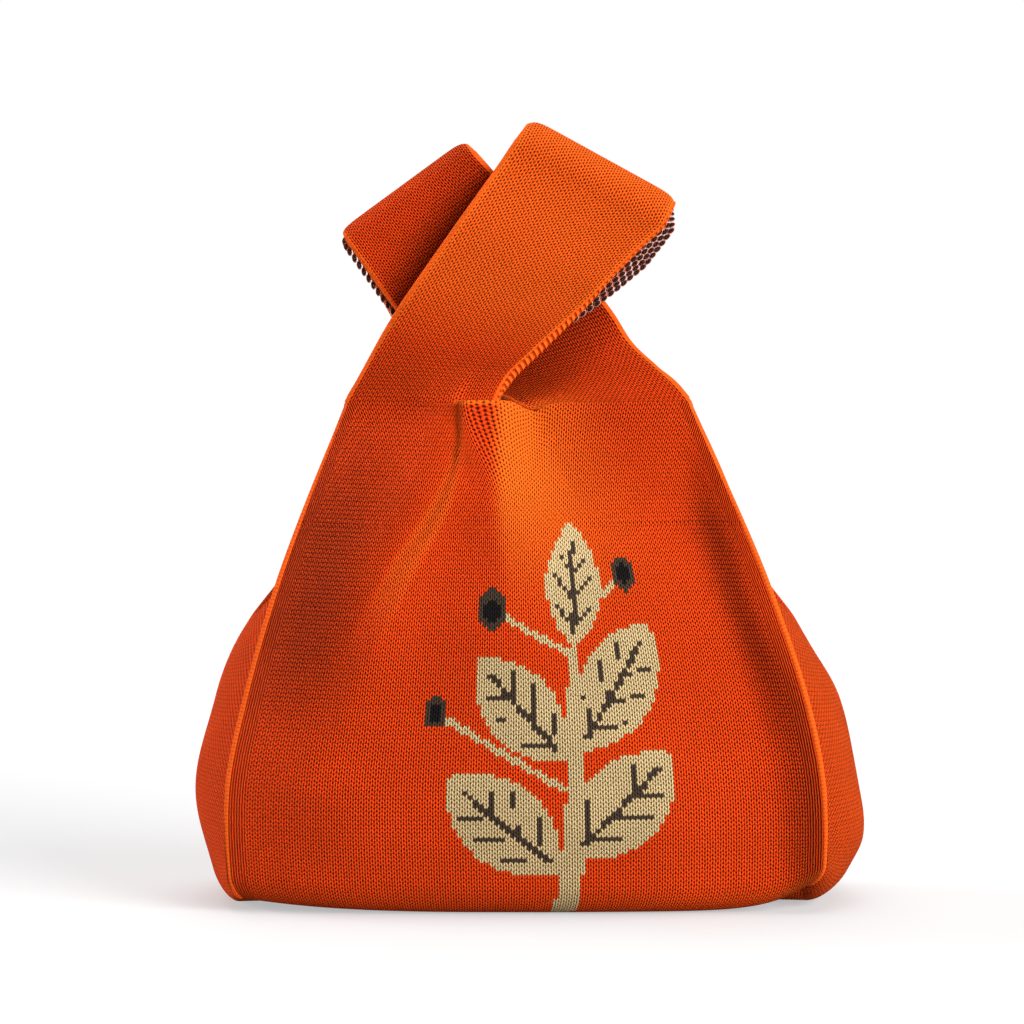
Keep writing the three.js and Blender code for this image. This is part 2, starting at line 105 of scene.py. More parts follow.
# Soft folds: a ridge along a line across the panel, from one (x, z) to another, with how far it
# spreads to its left and right, and its height. A negative height is a hollow.
FRONT_FOLDS = [
    ((-36, 192), (-68, 92), 30, 16, 7),
    ((55, 172), (73, 112), 34, 12, -6),
    ((73, 112), (90, 50), 42, 12, -7),
    ((90, 50), (94, 10), 30, 10, -3),
    ((-86, 60), (-62, 14), 16, 16, 0.8),
    ((20, 60), (-40, 8), 18, 18, 1),
]
FOLD_STARTS = (-0.25, 0.3)  # shares of its length over which a fold rises and ends
FOLD_ENDS = (0.7, 1.25)
FOLDS_CALM = 14  # how far below the neckline they start to fade
FOLD_EDGE_POWER = 12  # the higher, the nearer to the side edges they reach
RIPPLE = {"height": 0.45, "across": (19, 33), "along": (24, 47)}

# Where the cloth is drawn taut, over the pleat's flanks, with a painted highlight, and slack, in hollows
# inside the side edges, with painted shade. Pairs of heights say where it comes in (from), goes from its
# first value to its second (turns), or goes out (to).
TAUT_HIGHLIGHT_EDGE = {"soft": (3, 1), "turns": (145, 175)}
LEFT_TAUT_HIGHLIGHT = {"amount": (0.45, 0.25), "turns": (150, 180), "from": (80, 140)}
RIGHT_TAUT_HIGHLIGHT = {"amount": 0.85, "from": (100, 165)}
SLACK_SHADE = 1.1
LEFT_SLACK_SHADE = {"at": -0.84, "spread": 0.2, "from": (50, 120), "share": (1, 0.2), "turns": (140, 175)}
RIGHT_SLACK_SHADE = {"at": (0.96, 0.86), "turns": (60, 120), "spread": 0.07, "to": (135, 165)}
# Painted shade: the right gusset's cloth is slack and painted darker than the left's
GUSSET_SLACK_SHADE = {-1: 0, 1: -0.35}
# The curled edges of the neckline and the handles are taut, with a painted highlight
NECK_TAUT_HIGHLIGHT = 0.8
HANDLE_EDGE_TAUT_HIGHLIGHT = 0.5

# Cloth
FABRIC = 3.3  # both layers
EDGE_RADIUS = FABRIC / 2
WALES = 112  # columns of stitches across the front
WALE = 2.0
BORDER_WALES = 3  # ribs beside each side edge
NARROWING = {"from": 145, "share": 0.62}  # the knitting drops stitches above this height, to this share
COURSE = 1.6
LEAN = 0.6  # how far each stitch's legs rise, in courses
BETWEEN_LEGS = 0.25  # a place across a stitch where no gap shows
OVAL_LONG = 3.1  # the lining's large stitches
OVAL_WIDE = 1.9
BEAD_PITCH = 1.67  # between rows of them where they stand out past an edge
BEAD_DEPTH = 2.3
BEAD_SIZES = (1.75, 1.0, 0.8)
BEAD_SLANT = (0.92, 0.4)

# The ridges at the corners and round the base
RIDGE_RADIUS = 1.4
RIDGE_SUNK = (1.1, 0.7)  # into the gusset's side and the panel's
RIDGE_FOOT = 4  # where it starts, along the cloth
BASE_SEAM_RADIUS = 0.9
BASE_SEAM_HEIGHT = 1.6
BASE_SEAM_PLACE = (0.97, 0.93)  # shares of the base's outline
STRAND_PITCH = 1.5
BASE_RISE = 0.8  # at the base's middle

# The binding on the long handle's inner edge, from its root to where it is thin
BINDING_RADIUS = (1.75, 0.5)
BINDING_THINS = (0.25, 0.75)  # shares of a leg's length
BINDING_PAST = (2, 1)  # how far its middle lies past the edge
BINDING_NEARS = (0.3, 0.75)
BINDING_STARTS = (-2, 12)  # over this length it grows from nothing
BINDING_PROUD = 0.1
BINDING_STEP = 0.4
RIB_PITCH = 2.4
RIB_HEIGHT = 0.13

# Handles: edges as points across X and up from the neckline, near those of the solids. strip is how far
# the lining reaches past the inner edge, by the share of the way from root to fold. Their tension and
# painted light say how taut the cloth is drawn, with a painted highlight, or below 0 how slack, with
# painted shade, by the same share.
# lean and nod are the axes of the legs' and the loop's bends; they are read but not used.
LONG_HANDLE = {
    "name": "long_handle", "side": -1, "inner_root": {-1: -13, 1: -23}, "tuck": 4, "roll": 5, "sink": 0,
    # Painted shade at the root, where the cloth is slack, and a painted highlight up the strap, where it is
    # taut
    "tension_and_painted_light": [(0, -0.4), (0.12, -0.3), (0.35, 0.25), (0.5, 0.5)], "shade_slant": 0,
    "outer": [(-60.6, 17), (-50.8, 33.5), (-28.5, 66), (-6.6, 96.8)],
    "inner": [(-12, 5), (3, 20.2), (22, 37.4), (39.5, 55.4), (50.6, 65.4)],
    "face": 16.65, "fold_radius": 12, "inner_settles": 0.35, "taper_from": 0.6, "skew": 6,
    "parts_at": 0.36, "wales": 29, "bound": True,
    "strip": [(0.24, -4), (0.28, -2), (0.4, 3.8), (0.55, 6.6), (0.68, 8.4), (0.78, 6.4), (0.88, 3.8),
              (1, 1), (1.1, -4)],
    "lean": ((0, 0, 191.5), (0, 0, 212)),
    "nod": ((5.5 - 10.7, 0, 259.5 - 9), (5.5 + 10.7, 0, 259.5 + 9)),
}
SHORT_HANDLE = {
    "name": "short_handle", "side": 1, "inner_root": {-1: 3, 1: 3}, "tuck": 0, "roll": 0, "sink": 4.5,
    # Painted shadow of the long handle across the short one, where its cloth is slack; shade_slant slants
    # it
    "tension_and_painted_light": [(0.03, 0), (0.16, -1.2), (0.6, -1.2), (0.85, 0)], "shade_slant": 0.25,
    "outer": [(55.8, 6.4), (48, 13.6), (38.5, 22.4), (30.6, 34.5), (6, 65), (-20, 93.2)],
    "inner": [(0, -0.6), (-14, 3), (-29, 10), (-38, 20), (-50, 33.2), (-68.2, 58)],
    "face": 11.15, "fold_radius": 7, "inner_settles": 0.13, "taper_from": 0.5, "skew": 5,
    "parts_at": 0.62, "wales": 33, "bound": False,
    "strip": [(0.4, -4), (0.5, 0), (0.62, 3.6), (1, 3.6), (1.1, -4)],
    "lean": ((0, 0, 191), (0, 0, 207)),
    "nod": ((-33 + 11.8, 0, 254 - 7.6), (-33 - 3.4, 0, 254 + 2.2)),
}
# Rows and columns of the grids
PANEL_LINING_GRID = (70, 80)
GUSSET_GRID = (79, 45)
GUSSET_LINING_GRID = (50, 30)
LEG_ROWS = 61
FOLD_ROWS = 20
BAND_COLUMNS = 41
# Shares of a leg's length
OUTER_SETTLES = 0.4
SETTLE_FROM = 0.02
ROOT_BLEND = 0.16  # up to here a leg turns from its panel's shape into its own
ROOT_STEADY = (0.02, 0.14)
# Up to here a leg's tension and painted light turn from its root's into its own
ROOT_TENSION_AND_LIGHT_BLEND = 0.12
ROLL_RISES = (0.15, 0.45)  # where the front leg's outer edge rolls out
ROLL_ENDS = (0.7, 1)
SINK_STARTS = (0.02, 0.2)  # where the front leg lies deeper
SINK_ENDS = (0.4, 0.6)
FOLD_CORNERS = {"outer": 0.2, "inner": 0.12, "power": 30}  # how far the fold drops at its corners
# The band's edges are more taut, with more painted highlight
EDGE_TAUT_HIGHLIGHT = {"more": 0.4, "power": 50}

# The leaf pattern: leaves from a base to a tip, with a width; berries; and stalks
LEAVES = [
    ((13, 14), (-30, 50), 32),
    ((17, 20), (56, 58), 32),
    ((16, 56), (-20, 94), 28),
    ((20, 60), (54, 106), 30),
    ((21, 98), (25, 143), 25),
]
VEINS = (0.16, 0.38, 0.6)  # where the side veins start, as shares of a leaf's length
VEIN_HALF = 0.95
VEIN_CLEAR = 3.5  # how far they stay inside a leaf
RIB_HALF = 1.1
RIB_SPAN = (0.1, 0.86)
BERRIES = [(-14, 112, 6.5), (47, 124, 5.5), (-36, 74, 5)]
BERRY_TALL = 1.15
BERRY_HEART = 0.55
STALKS = [((18, 96), (-14, 112)), ((22, 108), (47, 124)), ((14, 46), (-36, 74))]
STALK_HALF = 1.3
# Its middle at its foot, how far it leans over which heights, how far and how often it waves, and half its
# width at its foot and above
STEM = {"foot": 15, "lean": 7, "leans": (0, 110), "wave": 2, "wave_length": 17, "top": 108,
        "half": (4.5, 1.8), "turns": (0, 100)}

# Stage and camera
FLOOR_PALE = 0.4
FLOOR_GLOW = 0.45
FLOOR_HALF = 8000
FLOOR_DROP = 0.2
WORLD_LEVEL = 0.1
# Soft lamps: the direction from the bag to each, its strength, and its spread in degrees
LAMPS = {
    "right": ((0.76, -0.6, 0.39), 4.5, 42),
    "left": ((-1, 0.3, 0.15), 3.4, 25),
    "above": ((0, 0.2, 1), 2.2, 60),
}
TARGET = (-6.84, 0, 147.1)
CAMERA_DISTANCE = 2000
CAMERA_ELEVATION = math.radians(5)
FRAME_WIDTH = 389
SENSOR_WIDTH = 36


def mix(a, b, share):
    return a + (b - a) * share


def smooth(start, end, value):
    share = np.clip((value - start) / (end - start), 0, 1)
    return share * share * (3 - 2 * share)


def window(rises, falls, value):
    """Rises from 0 to 1 between the first two places and falls back between the other two."""
    return smooth(*rises, value) * (1 - smooth(*falls, value))


def turning(values, name, z):
    """A value at a height, as it goes from its first size to its second."""
    return mix(*values[name], smooth(*values["turns"], z))


def unit(vectors):
    return vectors / np.maximum(np.linalg.norm(vectors, axis=-1, keepdims=True), 1e-9)


def hermite(t, start, leaving, end, arriving):
    """A curve from start to end with the slopes it leaves and arrives with. t runs from 0 to 1."""
    return ((2 * t**3 - 3 * t**2 + 1) * start + (t**3 - 2 * t**2 + t) * leaving
            + (3 * t**2 - 2 * t**3) * end + (t**3 - t**2) * arriving)


def lengths_along(path):
    """How far along a path each of its points lies."""
    return np.concatenate([[0], np.cumsum(np.linalg.norm(np.diff(path, axis=0), axis=1))])


def beside(x, z, start, end):
    """Places beside a line: the share of the way along it, how far off it, and the line's length."""
    run = np.array([end[0] - start[0], end[1] - start[1]], float)
    length = np.hypot(*run)
    along = ((x - start[0]) * run[0] + (z - start[1]) * run[1]) / length**2
    off = ((z - start[1]) * run[0] - (x - start[0]) * run[1]) / length
    return along, off, length


def station_curve(stations):
    """A smooth curve through (place, size) stations."""
    places, sizes = np.array(stations, float).T
    slopes = np.gradient(sizes, places)
    slopes[1:-1] = (sizes[2:] - sizes[:-2]) / (places[2:] - places[:-2])

    def curve(place):
        i = np.clip(np.searchsorted(places, place, side="right") - 1, 0, len(places) - 2)
        span = places[i + 1] - places[i]
        t = np.clip((place - places[i]) / span, 0, 1)
        return hermite(t, sizes[i], slopes[i] * span, sizes[i + 1], slopes[i + 1] * span)
    return curve


def station_curves(rows):
    """A curve for each column of a table whose first column holds the places."""
    places, *columns = zip(*rows)
    return [station_curve(list(zip(places, sizes))) for sizes in columns]


left_inset, right_inset = station_curves(SIDE_INSETS)
depth_inset, crown = station_curves(FRONT_INSETS)
left_swell, right_swell = station_curve(LEFT_SWELL), station_curve(RIGHT_SWELL)

# Lengths along the cloth from the base's edge
HEM_LENGTH = HEM_HEIGHT * math.pi / 2
NECK_GIRTH = HEM_LENGTH + NECK_HEIGHT - HEM_HEIGHT
ARMHOLE_GIRTH = HEM_LENGTH + ARMHOLE_HEIGHT - HEM_HEIGHT


class Level:
    """The body's cross-section at a distance up the cloth from the base's edge."""

    def __init__(self, girth):
        turn = np.clip(girth / HEM_LENGTH, 0, 1) * math.pi / 2
        self.z = np.where(girth < HEM_LENGTH, HEM_HEIGHT * (1 - np.cos(turn)),
                          girth - HEM_LENGTH + HEM_HEIGHT)
        inset = 1 - np.sin(turn)
        self.left = LEFT_WIDEST - left_inset(self.z) - LEFT_HEM_INSET * inset
        self.right = RIGHT_WIDEST - right_inset(self.z) - RIGHT_HEM_INSET * inset
        self.depth = DEEPEST - depth_inset(self.z) - FRONT_HEM_INSET * inset
        self.crown = crown(self.z)
        self.left_swell = left_swell(self.z)
        self.right_swell = right_swell(self.z)


neck = Level(np.float64(NECK_GIRTH))
neck_middle = (neck.right - neck.left) / 2
neck_half = (neck.left + neck.right) / 2


def neck_share(x):
    """A place across the neckline, before the pleat shifts it, as a share from -1 to 1."""
    return (x - neck_middle) / (neck_half - EDGE_RADIUS)


def folds(x, z):
    """How far the cloth stands proud of its plain surface."""
    across, along = RIPPLE["across"], RIPPLE["along"]
    height = RIPPLE["height"] * np.sin(x / across[0] + z / across[1])
    height = height * np.sin(z / along[0] - x / along[1] + 1)
    for start, end, left, right, size in FRONT_FOLDS:
        t, off, _ = beside(x, z, start, end)
        away = off / np.where(off < 0, left, right)
        height = height + size * np.exp(-away**2) * window(FOLD_STARTS, FOLD_ENDS, t)
    return height


pleat_parts = station_curves(PLEAT)
stretch = station_curve(STRETCH)


def pleat(x, z, whole):
    """How far the pleat stands out from the panel, or if not whole, only the cloth's rise to its left."""
    foot, steep, crest, gentle, depth = (part(z) for part in pleat_parts)
    before = PLEAT_LEAD["share"] * smooth(*PLEAT_LEAD["heights"], z)
    lead = before * smooth(foot - PLEAT_LEAD["width"], foot, x)
    if not whole:
        start, end = PLEAT_LEAD["ends"]
        return depth * lead * (1 - smooth(foot + start, foot + end, x))
    low = mix(PLEAT_STEP["share"], 1, smooth(PLEAT_STEP["below"], NECK_HEIGHT, z))
    rise = low * smooth(foot, steep, x) + (1 - low) * smooth(steep, crest, x)
    return depth * (lead + (1 - before) * rise) * (1 - smooth(crest, gentle, x))


def panel(share, girth, y, pleated=True):
    """Points of the front panel's outer face, or for y = 1 the back one's. share runs from -1 to 1. If not
    pleated, they are where a handle's root would run on from it behind the pleat."""
    at = Level(girth)
    middle = (at.right - at.left) / 2
    half = (at.left + at.right) / 2
    x = middle + share * (half - EDGE_RADIUS)
    if pleated:
        x = x + stretch(x) * smooth(STRETCH_FOOT, NECK_HEIGHT, at.z)
    across = (x - middle) / half
    steepness = np.where(across < 0, LEFT_BULGE, 2)
    out = at.depth + at.crown * (1 - np.abs(across) ** steepness) + pleat(x, at.z, pleated)
    calm = window((0, HEM_HEIGHT), (NECK_HEIGHT - FOLDS_CALM, NECK_HEIGHT), at.z)
    out = out + folds(x, at.z) * (1 - np.abs(share) ** FOLD_EDGE_POWER) * calm
    dip = NECK_DIP["drop"] * np.exp(-((x - NECK_DIP["at"]) / NECK_DIP["half"]) ** 2)
    z = at.z + corner_lift(share, at.z) - dip * smooth(NECK_HEIGHT - NECK_DIP["reach"], NECK_HEIGHT, at.z)
    return np.stack([x, y * out, z], -1)


def corner_lift(share, z):
    """How far the cloth is drawn up at a height. share runs from -1, the left corner, to 1."""
    away = np.abs(share)
    lift = np.where(share < 0, CORNER_LIFT["left"] * away ** CORNER_LIFT["left_power"],
                    CORNER_LIFT["right"] * away ** CORNER_LIFT["right_power"])
    return lift * (1 - smooth(0, CORNER_LIFT["reach"], z))


def gusset(share, girth, side):
    """Points of a side gusset's outer face, from front to back."""
    at = Level(girth)
    across = 1 - share**2
    edge, swell = (at.left, at.left_swell) if side < 0 else (at.right, at.right_swell)
    up = np.clip((at.z - HEM_HEIGHT) / (ARMHOLE_HEIGHT - HEM_HEIGHT), 0, 1)
    wave = GUSSET_WAVE["height"] * np.sin(np.pi * up) * np.sin(
        at.z / GUSSET_WAVE["length"] + GUSSET_WAVE["slant"] * share + side)
    x = side * (edge + (swell + wave * across) * across)
    drawn = np.abs(share) ** (GUSSET_LIFT_SPREAD if side > 0 else 1)
    z = at.z - ARMHOLE_SAG * up**3 * across + corner_lift(side * drawn, at.z)
    return np.stack([x, share * at.depth, z], -1)


def normals(grid, sign):
    """Outward normals of a grid of points, whose rows run up or along and columns across."""
    return unit(np.cross(np.gradient(grid, axis=1), np.gradient(grid, axis=0))) * sign


def grid_of(rows, columns):
    return np.meshgrid(rows, columns, indexing="ij")


def edge_curve(points):
    """The edge through the points, as places at even lengths along it."""
    p = np.array([(x, 0, NECK_HEIGHT + up) for x, up in points], float)
    p = np.vstack([2 * p[0] - p[1], p, 2 * p[-1] - p[-2]])
    gaps = np.sqrt(np.linalg.norm(np.diff(p, axis=0), axis=1))[:, None]
    before, after = gaps[:-1], gaps[1:]
    slopes = (p[1:-1] - p[:-2]) / before - (p[2:] - p[:-2]) / (before + after) + (p[2:] - p[1:-1]) / after
    t = np.linspace(0, 1, 80, endpoint=False)[:, None]
    places = [hermite(t, p[i], slopes[i - 1] * gaps[i], p[i + 1], slopes[i] * gaps[i])
              for i in range(1, len(p) - 2)]
    places = np.vstack([*places, p[-2:-1]])
    lengths = lengths_along(places)
    return lambda t: np.stack([np.interp(np.asarray(t) * lengths[-1], lengths, c) for c in places.T], -1)


# Materials
def set_inputs(node, values):
    for name, value in values.items():
        node.inputs[name].default_value = value


class Field:
    """A number that a material's nodes work out."""

    def __init__(self, tree, socket):
        self.tree = tree
        self.socket = socket

    def apply(self, operation, *others):
        node = self.tree.nodes.new("ShaderNodeMath")
        node.operation = operation
        for slot, value in zip(node.inputs, (self, *others)):
            if isinstance(value, Field):
                self.tree.links.new(value.socket, slot)
            else:
                slot.default_value = value
        return Field(self.tree, node.outputs[0])

    def __add__(self, other):
        return self.apply("ADD", other)

    def __sub__(self, other):
        return self.apply("SUBTRACT", other)

    def __mul__(self, other):
        return self.apply("MULTIPLY", other)

    def fract(self):
        return self.apply("FRACT")

    def size(self):
        return self.apply("ABSOLUTE")

    def between(self, start, end):
        """0 at start and 1 at end, turning smoothly."""
        node = self.tree.nodes.new("ShaderNodeMapRange")
        node.interpolation_type = "SMOOTHSTEP"
        self.tree.links.new(self.socket, node.inputs["Value"])
        set_inputs(node, {"From Min": start, "From Max": end})
        return Field(self.tree, node.outputs["Result"])


class Cloth:
    """A fabric material. u and v count stitches across and along."""

    def __init__(self, name, roughness, sheen, sheen_tint):
        self.material = bpy.data.materials.new(name)
        self.material.use_nodes = True
        self.tree = self.material.node_tree
        self.shader = self.tree.nodes["Principled BSDF"]
        set_inputs(self.shader, {"Roughness": roughness, "Specular IOR Level": 0.05, "Sheen Weight": sheen,
                                 "Sheen Roughness": 0.4, "Sheen Tint": (*sheen_tint, 1)})
        uv = self.node("ShaderNodeUVMap")
        uv.uv_map = "Knit"
        self.uv = uv.outputs[0]
        parts = self.node("ShaderNodeSeparateXYZ")
        self.tree.links.new(self.uv, parts.inputs[0])
        self.u = Field(self.tree, parts.outputs["X"])
        self.v = Field(self.tree, parts.outputs["Y"])

    def node(self, kind):
        return self.tree.nodes.new(kind)

    def noise(self, scale, stretch=(1, 1)):
        """Noise from 0 to 1 whose grains are about 1 / scale stitches wide."""
        place = self.node("ShaderNodeMapping")
        place.inputs["Scale"].default_value = (scale * stretch[0], scale * stretch[1], 1)
        self.tree.links.new(self.uv, place.inputs["Vector"])
        grain = self.node("ShaderNodeTexNoise")
        set_inputs(grain, {"Scale": 1, "Detail": 2})
        self.tree.links.new(place.outputs[0], grain.inputs["Vector"])
        return Field(self.tree, grain.outputs["Fac"])

    def colour(self, share, low, high):
        """A colour between two, by a share from 0 to 1."""
        node = self.node("ShaderNodeMix")
        node.data_type = "RGBA"
        for slot, value in (("A", low), ("B", high)):
            socket = [s for s in node.inputs if s.name == slot and s.type == "RGBA"][0]
            if isinstance(value, bpy.types.NodeSocket):
                self.tree.links.new(value, socket)
            else:
                socket.default_value = (*value, 1)
        self.tree.links.new(share.socket, node.inputs[0])
        return [s for s in node.outputs if s.type == "RGBA"][0]

    def finish(self, colour, height, depth):
        self.tree.links.new(colour, self.shader.inputs["Base Color"])
        bump = self.node("ShaderNodeBump")
        bump.inputs["Distance"].default_value = depth * MM
        self.tree.links.new(height.socket, bump.inputs["Height"])
        self.tree.links.new(bump.outputs[0], self.shader.inputs["Normal"])
        return self.material


def tinted(colour, factor):
    return tuple(c * factor for c in colour)


# How deep the gaps in the knit are, which also sets where they take the painted shade colour: between a
# stitch's legs, between strands, and where both meet
PLAIN_GAPS = (0.26, 0.2, 0.9)
RIBBED_GAPS = (0.7, 0.05, 0.4)
TIGHT_CLOSES = 0.5  # how much shallower they are where the cloth is drawn tight
SLACK_OPENS = 0.7  # and deeper where it is slack
# Painted shade on slack cloth: how far its colour goes towards the yarn's colour times the tint below
PAINTED_SHADE_SHARE = 0.4
PAINTED_SHADE_TINT = 0.3


def jersey(name, yarn, shade, sheen_tint=None, highlight_yarn=None, ribbed=0.0):
    """Plain knit: columns of V-shaped stitches, with a pit of painted shade wherever the strands part.
    The highlight yarn is a paler painted highlight colour where the cloth is drawn taut, and ribbed is how
    far the columns show as ribs. The meshes hold the cloth's tension and painted light: 1 where it is taut,
    with the painted highlight, 0 where it is even, and below 0 where it is slack, with painted shade."""
    cloth = Cloth(name, roughness=0.85, sheen=0.25, sheen_tint=sheen_tint or yarn)
    wobble = cloth.noise(0.9) - 0.5
    across = (((cloth.u + wobble * 0.25).fract() - 0.5) * 2).size()
    strand = ((cloth.v + wobble * 0.5 - across * LEAN).fract() - 0.5) * 2
    side = (across - 0.5) * 2
    leg_gap = side * side
    strand_gap = strand * strand
    legs, strands, pits = (mix(plain, rib, ribbed) for plain, rib in zip(PLAIN_GAPS, RIBBED_GAPS))
    gaps = leg_gap * legs + strand_gap * strands + leg_gap * strand_gap * pits
    # The cloth's tension and painted light, from the meshes: taut with a painted highlight, slack with
    # painted shade
    drawn = cloth.node("ShaderNodeAttribute")
    drawn.attribute_name = "TensionAndPaintedLight"
    tension_and_painted_light = Field(cloth.tree, drawn.outputs["Fac"])
    slack_and_shade = tension_and_painted_light.apply("MINIMUM", 0) * -1
    gaps = gaps * (tension_and_painted_light * -TIGHT_CLOSES + slack_and_shade * (SLACK_OPENS - TIGHT_CLOSES) + 1)
    fibres = cloth.noise(4, (1, 3)) - 0.5
    patches = cloth.noise(0.06)
    height = fibres * 0.25 - gaps
    even = cloth.colour(patches.between(0.25, 0.8), tinted(yarn, 0.92), tinted(yarn, 1.08))
    # Painted shade where the cloth is slack, then the paler painted highlight colour where it is taut
    shaded_yarn = cloth.colour(slack_and_shade * PAINTED_SHADE_SHARE, even, tinted(yarn, PAINTED_SHADE_TINT))
    plain = cloth.colour(tension_and_painted_light, shaded_yarn, highlight_yarn or yarn)
    return cloth.finish(cloth.colour(height.between(-0.48, -0.04), shade, plain), height, 1.2)


def soft_edge(name, yarn, shade):
    """A tightly stretched edge, where the stitches lie so close that it looks smooth."""
    cloth = Cloth(name, roughness=0.75, sheen=0.3, sheen_tint=yarn)
    strand = (cloth.v.fract() - 0.5) * 2
    round_strand = (strand * strand * -1) + 1
    fibres = cloth.noise(3, (1, 3))
    # Painted shade between the strands, with the yarn's colour on their crowns
    share = (round_strand * 0.4 + fibres).between(0.2, 0.9)
    return cloth.finish(cloth.colour(share, shade, yarn), round_strand * 0.5 + fibres, 0.2)


def ribbed_edge(name, yarn, shade):
    """A cord wound round an edge: slanting strands across a rounded rim."""
    cloth = Cloth(name, roughness=0.75, sheen=0.4, sheen_tint=yarn)
    strand = ((cloth.v + cloth.u * 0.35).fract() - 0.5) * 2
    round_strand = (strand * strand * -1) + 1
    fibres = cloth.noise(4, (1, 3))
    # Painted shade between the strands, with the yarn's colour on their crowns
    share = (round_strand + fibres * 0.4).between(0.15, 0.9)
    return cloth.finish(cloth.colour(share, shade, yarn), round_strand + fibres * 0.3, 0.5)


def oval_knit(name, oval, net):
    """The inside: large dark ovals in staggered rows, with thin light outlines."""
    cloth = Cloth(name, roughness=0.8, sheen=0.15, sheen_tint=oval)
    row = cloth.v.apply("FLOOR")
    along = ((cloth.u + row * 0.5).fract() - 0.5) * 2
    across = (cloth.v.fract() - 0.5) * 2
    reach = along * along + across * across
    fibres = cloth.noise(6, (1, 2))
    share = (reach + fibres * 0.3).between(1.0, 1.25)
    dark = cloth.colour(fibres, tinted(oval, 0.6), tinted(oval, 1.5))
    return cloth.finish(cloth.colour(share, dark, net), reach * -1 + fibres * 0.3, 0.9)


def bead_knit(name, oval, net):
    """One large oval stitch: dark, with a thin light outline. u and v run from -1 to 1 over it."""
    cloth = Cloth(name, roughness=0.8, sheen=0.15, sheen_tint=oval)
    fibres = cloth.noise(5, (1, 2))
    reach = cloth.u * cloth.u + cloth.v * cloth.v
    share = (reach + fibres * 0.2).between(0.62, 0.78)
    dark = cloth.colour(fibres, tinted(oval, 0.6), tinted(oval, 1.5))
    return cloth.finish(cloth.colour(share, dark, net), fibres, 0.25)


# Colours, as the shader takes them. Each *_SHADE colour, and each darkened copy passed as a knit's second
# colour, is painted shade in the gaps between the strands.
ORANGE = (1, 0.068, 0.006)
# Painted highlight: a paler, yellower orange for cloth drawn taut over the lit folds
PAINTED_HIGHLIGHT_ORANGE = (1, 0.17, 0.012)
ORANGE_SHADE = (0.16, 0.002, 0.0005)
GLOW_ORANGE = (1, 0.3, 0.02)  # what its fuzz shows from the side
RIM = (0.9, 0.12, 0.01)
RIM_SHADE = (0.45, 0.02, 0.001)
CREAM = (0.76, 0.57, 0.29)
CREAM_SHADE = (0.3, 0.17, 0.06)
DARK_BROWN = (0.075, 0.05, 0.034)
BLACK = (0.012, 0.01, 0.01)
OVAL_BROWN = (0.045, 0.014, 0.008)
NET_PINK = (0.8, 0.42, 0.36)

orange_knit = jersey("orange_knit", ORANGE, ORANGE_SHADE, GLOW_ORANGE, PAINTED_HIGHLIGHT_ORANGE)
border_knit = jersey("border_knit", ORANGE, ORANGE_SHADE, GLOW_ORANGE, PAINTED_HIGHLIGHT_ORANGE, ribbed=1.0)
cream_knit = jersey("cream_knit", CREAM, CREAM_SHADE)
brown_knit = jersey("brown_knit", DARK_BROWN, tinted(DARK_BROWN, 0.35))
black_knit = jersey("black_knit", BLACK, tinted(BLACK, 0.3))
edge_knit = soft_edge("edge_knit", RIM, RIM_SHADE)
cord_knit = ribbed_edge("cord_knit", RIM, RIM_SHADE)
inner_knit = oval_knit("inner_knit", OVAL_BROWN, NET_PINK)
inner_beads = bead_knit("inner_beads", OVAL_BROWN, NET_PINK)


# Meshes. A patch is a grid of points with a place in stitches for each, its side and its materials.
class Patch:
    def __init__(self, points, u, v, sign, materials, face_material=0, tension_and_painted_light=0.0):
        rows, columns = points.shape[:2]
        self.points = points
        self.uv = np.stack(np.broadcast_arrays(u, v), -1)
        self.sign = sign
        self.materials = materials if isinstance(materials, list) else [materials]
        self.face_material = np.broadcast_to(face_material, (rows - 1, columns - 1))
        self.tension_and_painted_light = np.broadcast_to(tension_and_painted_light, (rows, columns))


NO_AREA = 1e-3  # a face with less than this is left out


def add_object(name, data):
    made = bpy.data.objects.new(name, data)
    bpy.context.scene.collection.objects.link(made)
    return made


